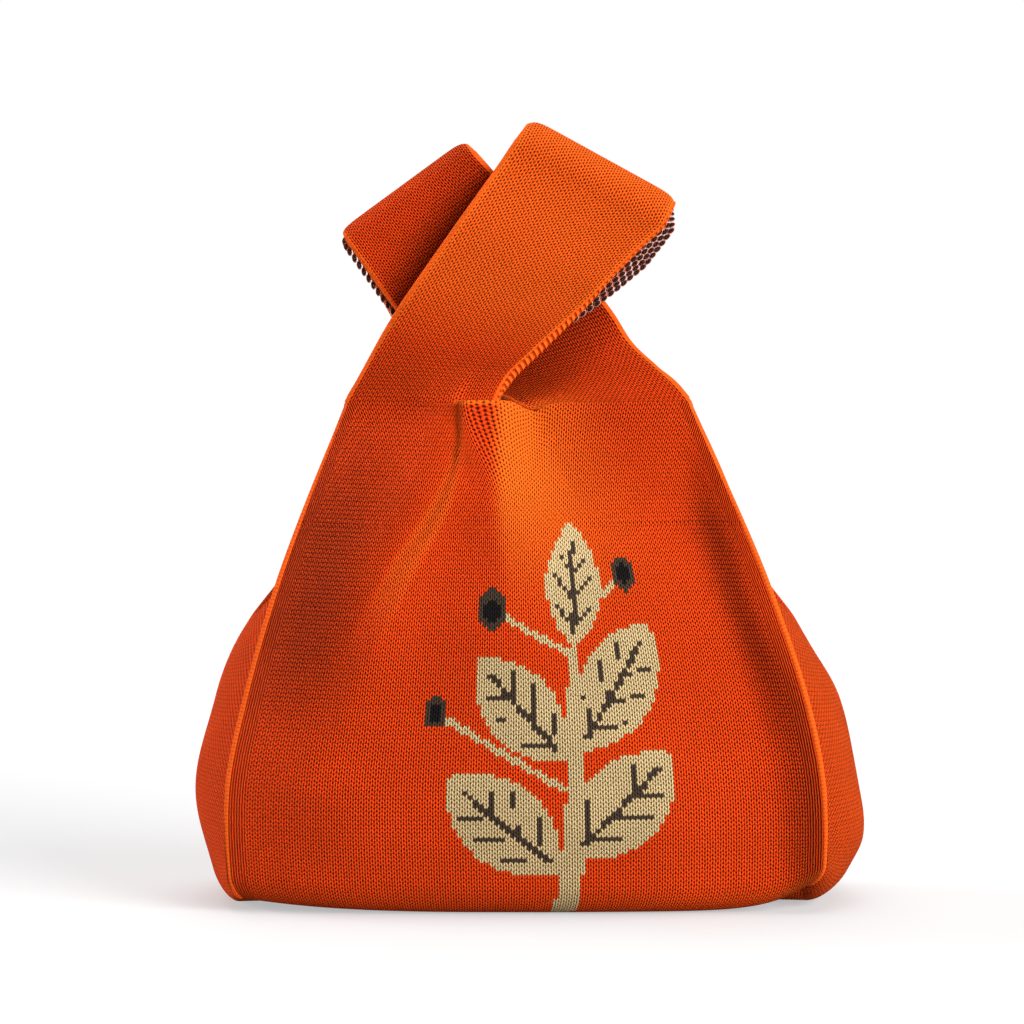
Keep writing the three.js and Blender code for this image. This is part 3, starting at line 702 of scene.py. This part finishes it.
def make_piece(name, patches, node):
    """One object from patches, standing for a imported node."""
    points, faces, uvs, indices, tension_and_painted_light, materials = [], [], [], [], [], []
    start = 0
    for patch in patches:
        rows, columns = patch.points.shape[:2]
        number = np.arange(rows * columns).reshape(rows, columns)
        quads = [number[:-1, :-1], number[:-1, 1:], number[1:, 1:], number[1:, :-1]]
        if patch.sign < 0:
            quads.reverse()
        quads = np.stack(quads, -1).reshape(-1, 4)
        for material in patch.materials:
            if material not in materials:
                materials.append(material)
        lookup = np.array([materials.index(material) for material in patch.materials])
        flat = patch.points.reshape(-1, 3)
        a, b, c, d = (flat[quads[:, k]] for k in range(4))
        solid = np.linalg.norm(np.cross(c - a, d - b), axis=1) > NO_AREA
        points.append(flat)
        tension_and_painted_light.append(patch.tension_and_painted_light.reshape(-1))
        faces.append(quads[solid] + start)
        uvs.append(patch.uv.reshape(-1, 2)[quads[solid]])
        indices.append(lookup[patch.face_material.reshape(-1)][solid])
        start += rows * columns
    used, faces = np.unique(np.vstack(faces), return_inverse=True)
    mesh = bpy.data.meshes.new(name)
    mesh.from_pydata((np.vstack(points)[used] * MM).tolist(), [], faces.reshape(-1, 4).tolist())
    layer = mesh.uv_layers.new(name="Knit")
    layer.data.foreach_set("uv", np.vstack(uvs).reshape(-1).astype(np.float32))
    # Each point's tension and painted light, which the knit reads
    drawn = mesh.attributes.new("TensionAndPaintedLight", "FLOAT", "POINT")
    drawn.data.foreach_set("value", np.concatenate(tension_and_painted_light)[used].astype(np.float32))
    for material in materials:
        mesh.materials.append(material)
    mesh.polygons.foreach_set("material_index", np.concatenate(indices).astype(np.int32))
    mesh.polygons.foreach_set("use_smooth", np.ones(len(mesh.polygons), bool))
    mesh.update()
    piece = add_object(name, mesh)
    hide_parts(node)
    return piece


CURL = np.radians([0, 30, 60, 90, 120, 150, 180])[:, None]


def curl_patch(edge, outward, away, u, v, sign, material, tension_and_painted_light=0.0, turned=1.0):
    """The cloth's turned edge: rows of points round a half circle, from an edge of the outer face. u and v
    are the edge's places in stitches, and v grows away from it. turned is the share of its radius."""
    away = unit(away - outward * (away * outward).sum(-1, keepdims=True))
    turns = CURL[..., None]
    points = edge + EDGE_RADIUS * turned * (outward * (np.cos(turns) - 1) + away * np.sin(turns))
    return Patch(points, u, v + CURL * EDGE_RADIUS / COURSE, sign, material, tension_and_painted_light=tension_and_painted_light)


def tube(path, radius, sides, material, pitch, phase=0):
    """A round rim along a path of points. v counts strands along it and u goes round it."""
    along = unit(np.gradient(path, axis=0))
    one = unit(np.cross(along, np.array([0.2, 0.3, 0.93])))
    two = np.cross(along, one)
    turns = np.linspace(0, 2 * math.pi, sides + 1)
    radius = np.broadcast_to(radius, (len(path),))[:, None, None]
    ring = one[:, None] * np.cos(turns)[None, :, None] + two[:, None] * np.sin(turns)[None, :, None]
    v, u = grid_of(lengths_along(path) / pitch + phase, turns / (2 * math.pi) * 4)
    return Patch(path[:, None] + ring * radius, u, v, -1, material)


# The front and back panels
def leaf(x, z, base, tip, width):
    """How far inside the leaf, how far off its middle line, the share of the way along it, its length."""
    along, off, length = beside(x, z, base, tip)
    half = width / 2 * np.sin(np.pi * np.clip(along, 0, 1)) ** 0.75
    return half - np.abs(off), np.abs(off), along, length


PLAIN, PALE, DARK, BLACKEST, BORDER = range(5)


def sprig(x, z):
    """The yarn of each stitch in the front panel's leaf pattern."""
    yarn = np.full(x.shape, PLAIN)
    middle = STEM["foot"] + STEM["lean"] * smooth(*STEM["leans"], z)
    middle = middle + STEM["wave"] * np.sin(z / STEM["wave_length"])
    yarn[(np.abs(x - middle) < turning(STEM, "half", z)) & (z < STEM["top"])] = PALE
    for start, end in STALKS:
        t = np.clip(beside(x, z, start, end)[0], 0, 1)
        yarn[np.hypot(x - mix(start[0], end[0], t), z - mix(start[1], end[1], t)) < STALK_HALF] = PALE
    for base, tip, width in LEAVES:
        inside, off, along, length = leaf(x, z, base, tip, width)
        within = (along > 0) & (along < 1) & (inside > 0)
        yarn[within] = PALE
        yarn[within & (off < RIB_HALF) & (along > RIB_SPAN[0]) & (along < RIB_SPAN[1])] = DARK
        for start in VEINS:
            vein = np.abs((along - start) * length - off) < VEIN_HALF
            yarn[within & vein & (inside > VEIN_CLEAR)] = DARK
    for x0, z0, radius in BERRIES:
        away = np.hypot(x - x0, (z - z0) / BERRY_TALL)
        yarn[away < radius] = DARK
        yarn[away < radius * BERRY_HEART] = BLACKEST
    return yarn


def panel_tension_and_painted_light(x, z, share):
    """How taut the front panel is drawn, with its painted light: 1 over the pleat's flanks, taut with a
    painted highlight, and below 0 in the hollows inside the side edges, slack with painted shade.
    """
    foot, steep, crest, gentle = (part(z) for part in pleat_parts[:4])
    soft = turning(TAUT_HIGHLIGHT_EDGE, "soft", z)
    left = window((foot - soft, foot + 1), (steep - 1, steep + soft), x)
    right = window((crest - 3, crest + 5), (crest + 6, gentle + 32), x)
    tension_and_painted_light = turning(LEFT_TAUT_HIGHLIGHT, "amount", z) * left * smooth(*LEFT_TAUT_HIGHLIGHT["from"], z)
    tension_and_painted_light = tension_and_painted_light + RIGHT_TAUT_HIGHLIGHT["amount"] * right * smooth(*RIGHT_TAUT_HIGHLIGHT["from"], z)
    left_hollow_shade = np.exp(-((share - LEFT_SLACK_SHADE["at"]) / LEFT_SLACK_SHADE["spread"]) ** 2)
    left_hollow_shade = left_hollow_shade * smooth(*LEFT_SLACK_SHADE["from"], z) * turning(LEFT_SLACK_SHADE, "share", z)
    right_hollow_shade = np.exp(-((share - turning(RIGHT_SLACK_SHADE, "at", z)) / RIGHT_SLACK_SHADE["spread"]) ** 2)
    right_hollow_shade = right_hollow_shade * (1 - smooth(*RIGHT_SLACK_SHADE["to"], z))
    return tension_and_painted_light - SLACK_SHADE * (1 - tension_and_painted_light) * (left_hollow_shade + right_hollow_shade)


def wales_left(u, z):
    """A stitch's place across, once the stitches dropped below it are counted off."""
    up = np.clip((z - NARROWING["from"]) / (NECK_HEIGHT - NARROWING["from"]), 0, 1)
    return WALES / 2 + (u - WALES / 2) * mix(1, NARROWING["share"], up)


def panel_grid(y, rows, columns, zigzag):
    """The panel's outer face as a grid, and each point's place in stitches."""
    girths = np.linspace(0, NECK_GIRTH, rows)
    shares = np.linspace(-1, 1, columns)
    girth, share = grid_of(girths, shares)
    if zigzag:
        ends = window((0, 4 * COURSE), (NECK_GIRTH - 4 * COURSE, NECK_GIRTH), girth)
        girth = girth + LEAN * COURSE * ends * (np.arange(columns) % 2 == 0)
    return panel(share, girth, y), (share + 1) * WALES / 2, girth / COURSE


def panel_patches(y, with_sprig):
    rows = round(NECK_GIRTH / COURSE) + 1
    columns = 2 * WALES + 1 if with_sprig else WALES + 1
    points, u, v = panel_grid(y, rows, columns, with_sprig)
    out = normals(points, -y)
    material = [orange_knit, cream_knit, brown_knit, black_knit, border_knit]
    centre_u = (u[:-1, :-1] + u[:-1, 1:]) / 2
    wale = (np.floor(centre_u) + 0.5 - WALES / 2) * WALE
    course = (np.arange(rows - 1)[:, None] + 0.5) * COURSE - HEM_LENGTH / 2
    yarn = sprig(wale, np.broadcast_to(course, wale.shape)) if with_sprig else np.full(wale.shape, PLAIN)
    yarn[np.abs(centre_u - WALES / 2) > WALES / 2 - BORDER_WALES] = BORDER
    tension_and_painted_light = panel_tension_and_painted_light(points[..., 0], points[..., 2], u * 2 / WALES - 1) if with_sprig else 0
    stitches = wales_left(u, Level(v * COURSE).z)
    patches = [Patch(points, stitches, v, -y, material, yarn, tension_and_painted_light)]
    for column, sign in ((0, 1), (-1, -1)):
        away = points[:, column] - points[:, column + sign]
        patches.append(curl_patch(points[:, column], out[:, column], away, v[:, column], 0, sign * y,
                                  edge_knit))
    x = neck_middle + (u[-1] * 2 / WALES - 1) * (neck_half - EDGE_RADIUS)
    free = window(*NECK_FREE, x)
    patches.append(curl_patch(points[-1], out[-1], points[-1] - points[-2], stitches[-1], v[-1], -y,
                              orange_knit, NECK_TAUT_HIGHLIGHT, free[:, None]))
    return patches


def lining_patch(points, out, sign):
    """The inner layer: the outer face moved in, with its ovals laid out by length."""
    moved = points - out * FABRIC
    lengths = [np.cumsum(np.linalg.norm(np.diff(moved, axis=k), axis=-1), axis=k) for k in (0, 1)]
    v = np.concatenate([np.zeros_like(moved[:1, :, 0]), lengths[0]], 0) / OVAL_LONG
    u = np.concatenate([np.zeros_like(moved[:, :1, 0]), lengths[1]], 1) / OVAL_WIDE
    return Patch(moved, v, u, -sign, inner_knit)


pieces = []


def add_lining(name, points, sign):
    patch = lining_patch(points, normals(points, sign), sign)
    pieces.append(make_piece(name + "_inner_cloth", [patch], name + "_lining"))


for name, y in (("front_panel", -1), ("back_panel", 1)):
    pieces.append(make_piece(name + "_cloth", panel_patches(y, y < 0), name))
    add_lining(name, panel_grid(y, *PANEL_LINING_GRID, zigzag=False)[0], -y)


# The gussets
def gusset_grid(rows, columns, reach):
    return grid_of(np.linspace(0, ARMHOLE_GIRTH, rows), np.linspace(-reach, reach, columns))


for name, side in (("left_gusset", -1), ("right_gusset", 1)):
    girth, share = gusset_grid(*GUSSET_GRID, 1)
    points = gusset(share, girth, side)
    out = normals(points, side)
    u, v = share * Level(girth).depth / WALE, girth / COURSE
    patches = [Patch(points, u + v * 0.35, v, side, orange_knit, tension_and_painted_light=GUSSET_SLACK_SHADE[side]),
               curl_patch(points[-1], out[-1], points[-1] - points[-2], u[-1], v[-1], side, orange_knit)]
    pieces.append(make_piece(name + "_cloth", patches, name))
    girth, share = gusset_grid(*GUSSET_LINING_GRID, 0.95)
    add_lining(name, gusset(share, girth, side), side)

# The base: rings from the walls' lower edges to the middle
shares = np.linspace(-1, 1, 60)
lowest = np.zeros_like(shares)
outline = np.concatenate([panel(shares, lowest, -1), gusset(shares, lowest, 1),
                          panel(shares[::-1], lowest, 1), gusset(shares[::-1], lowest, -1)])
outline = np.vstack([outline, outline[:1]])
for name, height, material, sign in (("base_panel", 0, orange_knit, 1),
                                     ("base_panel_lining", FABRIC, inner_knit, -1)):
    sizes = np.linspace(1, 0.02, 40)[:, None, None]
    points = outline[None] * np.concatenate([sizes, sizes, smooth(0.6, 1, sizes)], -1)
    points[..., 2] += height + BASE_RISE * (1 - sizes[..., 0])
    stitch = (WALE, COURSE) if height == 0 else (OVAL_WIDE, OVAL_LONG)
    patch = Patch(points, points[..., 0] / stitch[0], points[..., 1] / stitch[1], sign, material)
    pieces.append(make_piece(name + "_cloth", [patch], name))

# The ridges at the four corners, and the seam round the base
for side_name, side in (("left", -1), ("right", 1)):
    for face_name, y in (("front", -1), ("back", 1)):
        girths = np.linspace(RIDGE_FOOT, NECK_GIRTH, 260)
        at = Level(girths)
        edge = at.left if side < 0 else at.right
        z = np.maximum(at.z, RIDGE_RADIUS) + corner_lift(side, at.z)
        corner = np.stack([side * (edge - RIDGE_SUNK[0]), y * (at.depth - RIDGE_SUNK[1]), z], -1)
        radius = RIDGE_RADIUS * mix(0.7, 1, smooth(RIDGE_FOOT, 60, girths))
        radius = radius * mix(1, 0.35, smooth(130, NECK_GIRTH, girths))
        name = f"{face_name}_{side_name}_seam"
        ridge = tube(corner, radius, 12, edge_knit, STRAND_PITCH)
        pieces.append(make_piece(name + "_ridge", [ridge], name))
ring = outline * np.array([*BASE_SEAM_PLACE, 1]) + np.array([0, 0, BASE_SEAM_HEIGHT])
ridge = tube(ring, BASE_SEAM_RADIUS, 10, edge_knit, STRAND_PITCH)
pieces.append(make_piece("base_seam_ridge", [ridge], "base_seam"))


# The handles: one band each, up the front, over the fold and down the back
def leg_points(handle, curves, across, t, w, y):
    """Points on one leg's outer face, t along it and w across it from its outer edge."""
    a, b = curves[0](t), curves[1](t)
    shift = handle["skew"] * np.sin(np.pi * t) ** 2 if y > 0 else 0 * t
    p = a + (b - a) * w[..., None] + across * shift[..., None]
    share = (p[..., 0] - neck_middle) / neck_half
    root_face = neck.depth + neck.crown * (1 - share**2)
    settles = mix(OUTER_SETTLES, handle["inner_settles"], w)
    crossing = mix(root_face, handle["face"], smooth(SETTLE_FROM, settles, t))
    face = mix(crossing, handle["fold_radius"], smooth(handle["taper_from"], 1, t))
    if y < 0:
        face = face + handle["roll"] * (1 - w) ** 1.5 * window(ROLL_RISES, ROLL_ENDS, t)
        face = face - handle["sink"] * smooth(0.15, 1, w) * window(SINK_STARTS, SINK_ENDS, t)
    p[..., 1] = y * face
    return p


def handle_band(handle):
    """The whole band as a grid, and the shares of a leg's length that its rows lie at."""
    outer_root = handle["side"] * float(neck.left if handle["side"] < 0 else neck.right)
    curves = {y: [edge_curve([(end, 0)] + handle[edge]) for end, edge in
                  ((outer_root, "outer"), (handle["inner_root"][y], "inner"))] for y in (-1, 1)}
    tips = [curve(1) for curve in curves[-1]]
    across = unit(tips[1] - tips[0])
    up = np.array([-across[2], 0, across[0]]) * -handle["side"]
    t = np.linspace(0, 1, LEG_ROWS)
    w = np.linspace(0, 1, BAND_COLUMNS)
    legs = {}
    for y in (-1, 1):
        width = np.linalg.norm(curves[y][1](t) - curves[y][0](t), axis=1)[:, None]
        inset = EDGE_RADIUS / width
        w_grid = inset + (1 - 2 * inset) * w
        t_grid = np.broadcast_to(t[:, None], w_grid.shape)
        points = leg_points(handle, curves[y], across, t_grid, w_grid, y)
        joined = panel(neck_share(points[0, :, 0]), np.full(len(w), NECK_GIRTH), y, pleated=False)
        if y < 0:
            joined[:, 2] -= handle["tuck"] * smooth(*NECK_FREE[0], joined[:, 0])
        points += (joined - points[0])[None] * (1 - smooth(0, ROOT_BLEND, t_grid))[..., None]
        legs[y] = points
    turns = np.linspace(0, math.pi, FOLD_ROWS + 2)[1:-1]
    reach = np.linalg.norm(tips[1] - tips[0])
    w_tip = EDGE_RADIUS / reach + (1 - 2 * EDGE_RADIUS / reach) * w
    radius = handle["fold_radius"]
    power = FOLD_CORNERS["power"]
    rounded = 1 - FOLD_CORNERS["outer"] * (1 - w) ** power - FOLD_CORNERS["inner"] * w ** power
    fold = (tips[0] + (tips[1] - tips[0]) * w_tip[:, None])[None]
    fold = fold + up * (radius * np.sin(turns)[:, None] * rounded)[..., None]
    fold[..., 1] = -radius * np.cos(turns)[:, None]
    return np.concatenate([legs[-1], fold, legs[1][::-1]]), t


def edge_at(edge, lengths, places):
    """At places along a band's inner edge: its points, and the directions past it and out of the cloth."""
    return np.split(np.stack([np.interp(places, lengths, values) for values in edge.T], -1), 3, axis=-1)


def bead(centre, long_axis, wide_axis, thick_axis, sizes):
    """One large stitch of the lining as a flattened ball. The axes are unit vectors."""
    turns, tilts = grid_of(np.linspace(0, 2 * math.pi, 11), np.radians([-80, -40, 0, 35, 65, 88]))
    x, y = np.cos(turns) * np.cos(tilts), np.sin(turns) * np.cos(tilts)
    points = (centre + long_axis * (x * sizes[0])[..., None] + wide_axis * (y * sizes[1])[..., None]
              + thick_axis * (np.sin(tilts) * sizes[2])[..., None])
    sign = 1 if np.cross(long_axis, wide_axis) @ thick_axis > 0 else -1
    return Patch(points, x, y, -sign, inner_beads)


def handle_pieces(handle):
    grid, t = handle_band(handle)
    sign = -handle["side"]
    rows = len(grid)
    in_front = (np.arange(rows) < rows / 2)[:, None]
    lengths = lengths_along(grid[:, BAND_COLUMNS // 2])
    leg_share = np.concatenate([t, np.ones(FOLD_ROWS), t[::-1]])[:, None]
    straight = np.where(in_front, -1, 1)[..., None] * np.array([0, 1, 0])
    out = unit(mix(straight, normals(grid, sign), smooth(*ROOT_STEADY, leg_share)[..., None]))
    root = neck_share(grid[0, :, 0])
    root_outer, root_inner = (wales_left((root[k] + 1) * WALES / 2, NECK_HEIGHT) for k in (0, -1))
    wales = mix(abs(root_inner - root_outer), handle["wales"], smooth(0, 0.4, leg_share))
    w = np.linspace(0, 1, BAND_COLUMNS)[None]
    u = root_outer - handle["side"] * w * wales
    tucked = handle["tuck"] * smooth(*NECK_FREE[0], grid[0, :, 0]) * in_front
    v = (NECK_GIRTH + lengths[:, None] - tucked * (1 - smooth(0, ROOT_BLEND, leg_share))) / COURSE
    root_tension_and_painted_light = panel_tension_and_painted_light(grid[0, :, 0], NECK_HEIGHT, root)
    cut = round(handle["parts_at"] * (LEG_ROWS - 1))
    spans = {"front_leg": (0, cut), "loop": (cut, rows - 1 - cut), "back_leg": (rows - 1 - cut, rows - 1)}
    inner_edge = np.hstack([grid[:, -1], unit(grid[:, -1] - grid[:, -2]), out[:, -1]])
    edge_length = lengths_along(grid[:, -1])
    # The band's tension and painted light: painted highlight where taut, painted shade and shadow where
    # slack
    tension_and_painted_light = np.interp(leg_share + handle["shade_slant"] * (w - 1), *np.array(handle["tension_and_painted_light"]).T)
    tension_and_painted_light = tension_and_painted_light + EDGE_TAUT_HIGHLIGHT["more"] * np.abs(2 * w - 1) ** EDGE_TAUT_HIGHLIGHT["power"]
    tension_and_painted_light = mix(root_tension_and_painted_light * in_front, tension_and_painted_light, smooth(0, ROOT_TENSION_AND_LIGHT_BLEND, leg_share))
    for part, (first, last) in spans.items():
        node = f"{handle['name']}_{part}"
        here = slice(first, last + 1)
        patches = [Patch(grid[here], u[here], v[here], sign, orange_knit, tension_and_painted_light=tension_and_painted_light[here])]
        for column, step, turn in ((0, 1, 1), (-1, -1, -1)):
            edge = grid[here, column]
            patches.append(curl_patch(edge, out[here, column], edge - grid[here, column + step],
                                      BETWEEN_LEGS, v[here, column], -sign * turn, orange_knit,
                                      HANDLE_EDGE_TAUT_HIGHLIGHT))
        if handle["bound"]:
            patches.append(binding(first, last, inner_edge, edge_length, leg_share[:, 0]))
        outer = make_piece(node + "_cloth", patches, node)
        lining = [lining_patch(grid[here, 1:-1], out[here, 1:-1], sign)]
        lining += bead_patches(handle, first, last, inner_edge, edge_length)
        inner_piece = make_piece(node + "_inner_cloth", lining, node + "_lining")
        for piece in (outer, inner_piece):
            if part == "loop":
                start, end = handle["nod"]
            else:
                start, end = handle["lean"]
            [c * MM for c in start]
            [c * MM for c in end]
            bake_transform(piece)


def binding(first, last, edge, edge_length, leg_share):
    """The ribbed cord that binds a band's inner edge, thickest near its root."""
    here = np.arange(edge_length[first], edge_length[last] + BINDING_STEP / 2, BINDING_STEP)
    here[-1] = edge_length[last]
    share = np.interp(here, edge_length, leg_share)
    from_root = np.minimum(here, edge_length[-1] - here)
    radius = mix(*BINDING_RADIUS, smooth(*BINDING_THINS, share)) * smooth(*BINDING_STARTS, from_root)
    past = mix(*BINDING_PAST, smooth(*BINDING_NEARS, share))[:, None]
    at, away, out = edge_at(edge, edge_length, here)
    centre = at + away * past - out * (radius - BINDING_PROUD)[:, None]
    patch = tube(centre, radius, 16, cord_knit, RIB_PITCH, edge_length[first] / RIB_PITCH)
    turn = patch.uv[..., 0] * math.pi / 2
    wave = np.cos(2 * math.pi * patch.uv[..., 1] + turn)
    patch.points = patch.points + (patch.points - centre[:, None]) * (RIB_HEIGHT * wave)[..., None]
    return patch


def bead_patches(handle, first, last, edge, edge_length):
    """Staggered rows of the lining's large stitches, turned out past the handle's inner edge."""
    patches = []
    for row in range(math.ceil(max(width for _, width in handle["strip"]) / BEAD_PITCH)):
        places = np.arange(OVAL_LONG * (0.5 + 0.5 * (row % 2)), edge_length[-1], OVAL_LONG)
        places = places[(places >= edge_length[first]) & (places < edge_length[last])]
        width = np.interp(places / edge_length[-1] * 2, *np.array(handle["strip"]).T)
        centre, away, out = edge_at(edge, edge_length, places)
        outward = unit(out)
        along = unit(np.cross(outward, unit(away)))
        side = np.cross(along, outward)
        for c, n, s, a, reach in zip(centre, outward, side, along, width):
            past = reach - BEAD_PITCH * (row + 0.5)
            if past < -2 * BEAD_PITCH:
                continue
            slant = unit(a * BEAD_SLANT[0] + s * BEAD_SLANT[1])
            place = c + s * past - n * (BEAD_DEPTH + 0.25 * (row % 2))
            patches.append(bead(place, slant, np.cross(n, slant), -n, BEAD_SIZES))
    return patches


for handle in (LONG_HANDLE, SHORT_HANDLE):
    handle_pieces(handle)
for piece in pieces:
    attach(piece, "bag_body")


# Stage, light and camera
def seen_level(tree, seen, unseen):
    """A strength for what the camera, reflections and clear things see, and another for all else."""
    path = tree.nodes.new("ShaderNodeLightPath")
    camera_ray, glossy, clear = (Field(tree, path.outputs[f"Is {kind} Ray"])
                                 for kind in ("Camera", "Glossy", "Transmission"))
    return (camera_ray + glossy + clear) * (seen - unseen) + unseen


# The floor is white for the camera, with the object's soft shadow on it.
floor_white = bpy.data.materials.new("stage_white")
floor_white.use_nodes = True
tree = floor_white.node_tree
shader = tree.nodes["Principled BSDF"]
set_inputs(shader, {"Roughness": 1, "Specular IOR Level": 0, "Base Color": (FLOOR_PALE,) * 3 + (1,),
                    "Emission Color": (1, 1, 1, 1)})
tree.links.new(seen_level(tree, FLOOR_GLOW, 0).socket, shader.inputs["Emission Strength"])
floor_mesh = bpy.data.meshes.new("floor")
floor_corners = [(x * FLOOR_HALF * MM, y * FLOOR_HALF * MM, -FLOOR_DROP * MM)
                 for x, y in ((-1, -1), (1, -1), (1, 1), (-1, 1))]
floor_mesh.from_pydata(floor_corners, [], [(0, 1, 2, 3)])
floor_mesh.materials.append(floor_white)
floor = add_object("floor", floor_mesh)

world = bpy.data.worlds.new("studio")
world.use_nodes = True
background = world.node_tree.nodes["Background"]
background.inputs["Color"].default_value = (1, 1, 1, 1)
level = seen_level(world.node_tree, 1, WORLD_LEVEL)
world.node_tree.links.new(level.socket, background.inputs["Strength"])
bpy.context.scene.world = world

for name, (towards, strength, spread) in LAMPS.items():
    light = bpy.data.lights.new(name, "SUN")
    light.energy = strength
    light.angle = math.radians(spread)
    lamp = add_object(name, light)
    lamp.rotation_mode = "QUATERNION"
    lamp.rotation_quaternion = Vector(towards).to_track_quat("Z", "Y")

camera_data = bpy.data.cameras.new("camera")
camera_data.sensor_width = SENSOR_WIDTH
camera_data.lens = SENSOR_WIDTH * CAMERA_DISTANCE / FRAME_WIDTH
camera = add_object("camera", camera_data)
camera.location = [MM * c for c in (
    TARGET[0], TARGET[1] - CAMERA_DISTANCE * math.cos(CAMERA_ELEVATION),
    TARGET[2] + CAMERA_DISTANCE * math.sin(CAMERA_ELEVATION))]
camera.rotation_euler = (math.pi / 2 - CAMERA_ELEVATION, 0, 0)
bpy.context.scene.camera = camera
bpy.context.scene.view_settings.view_transform = "Standard"
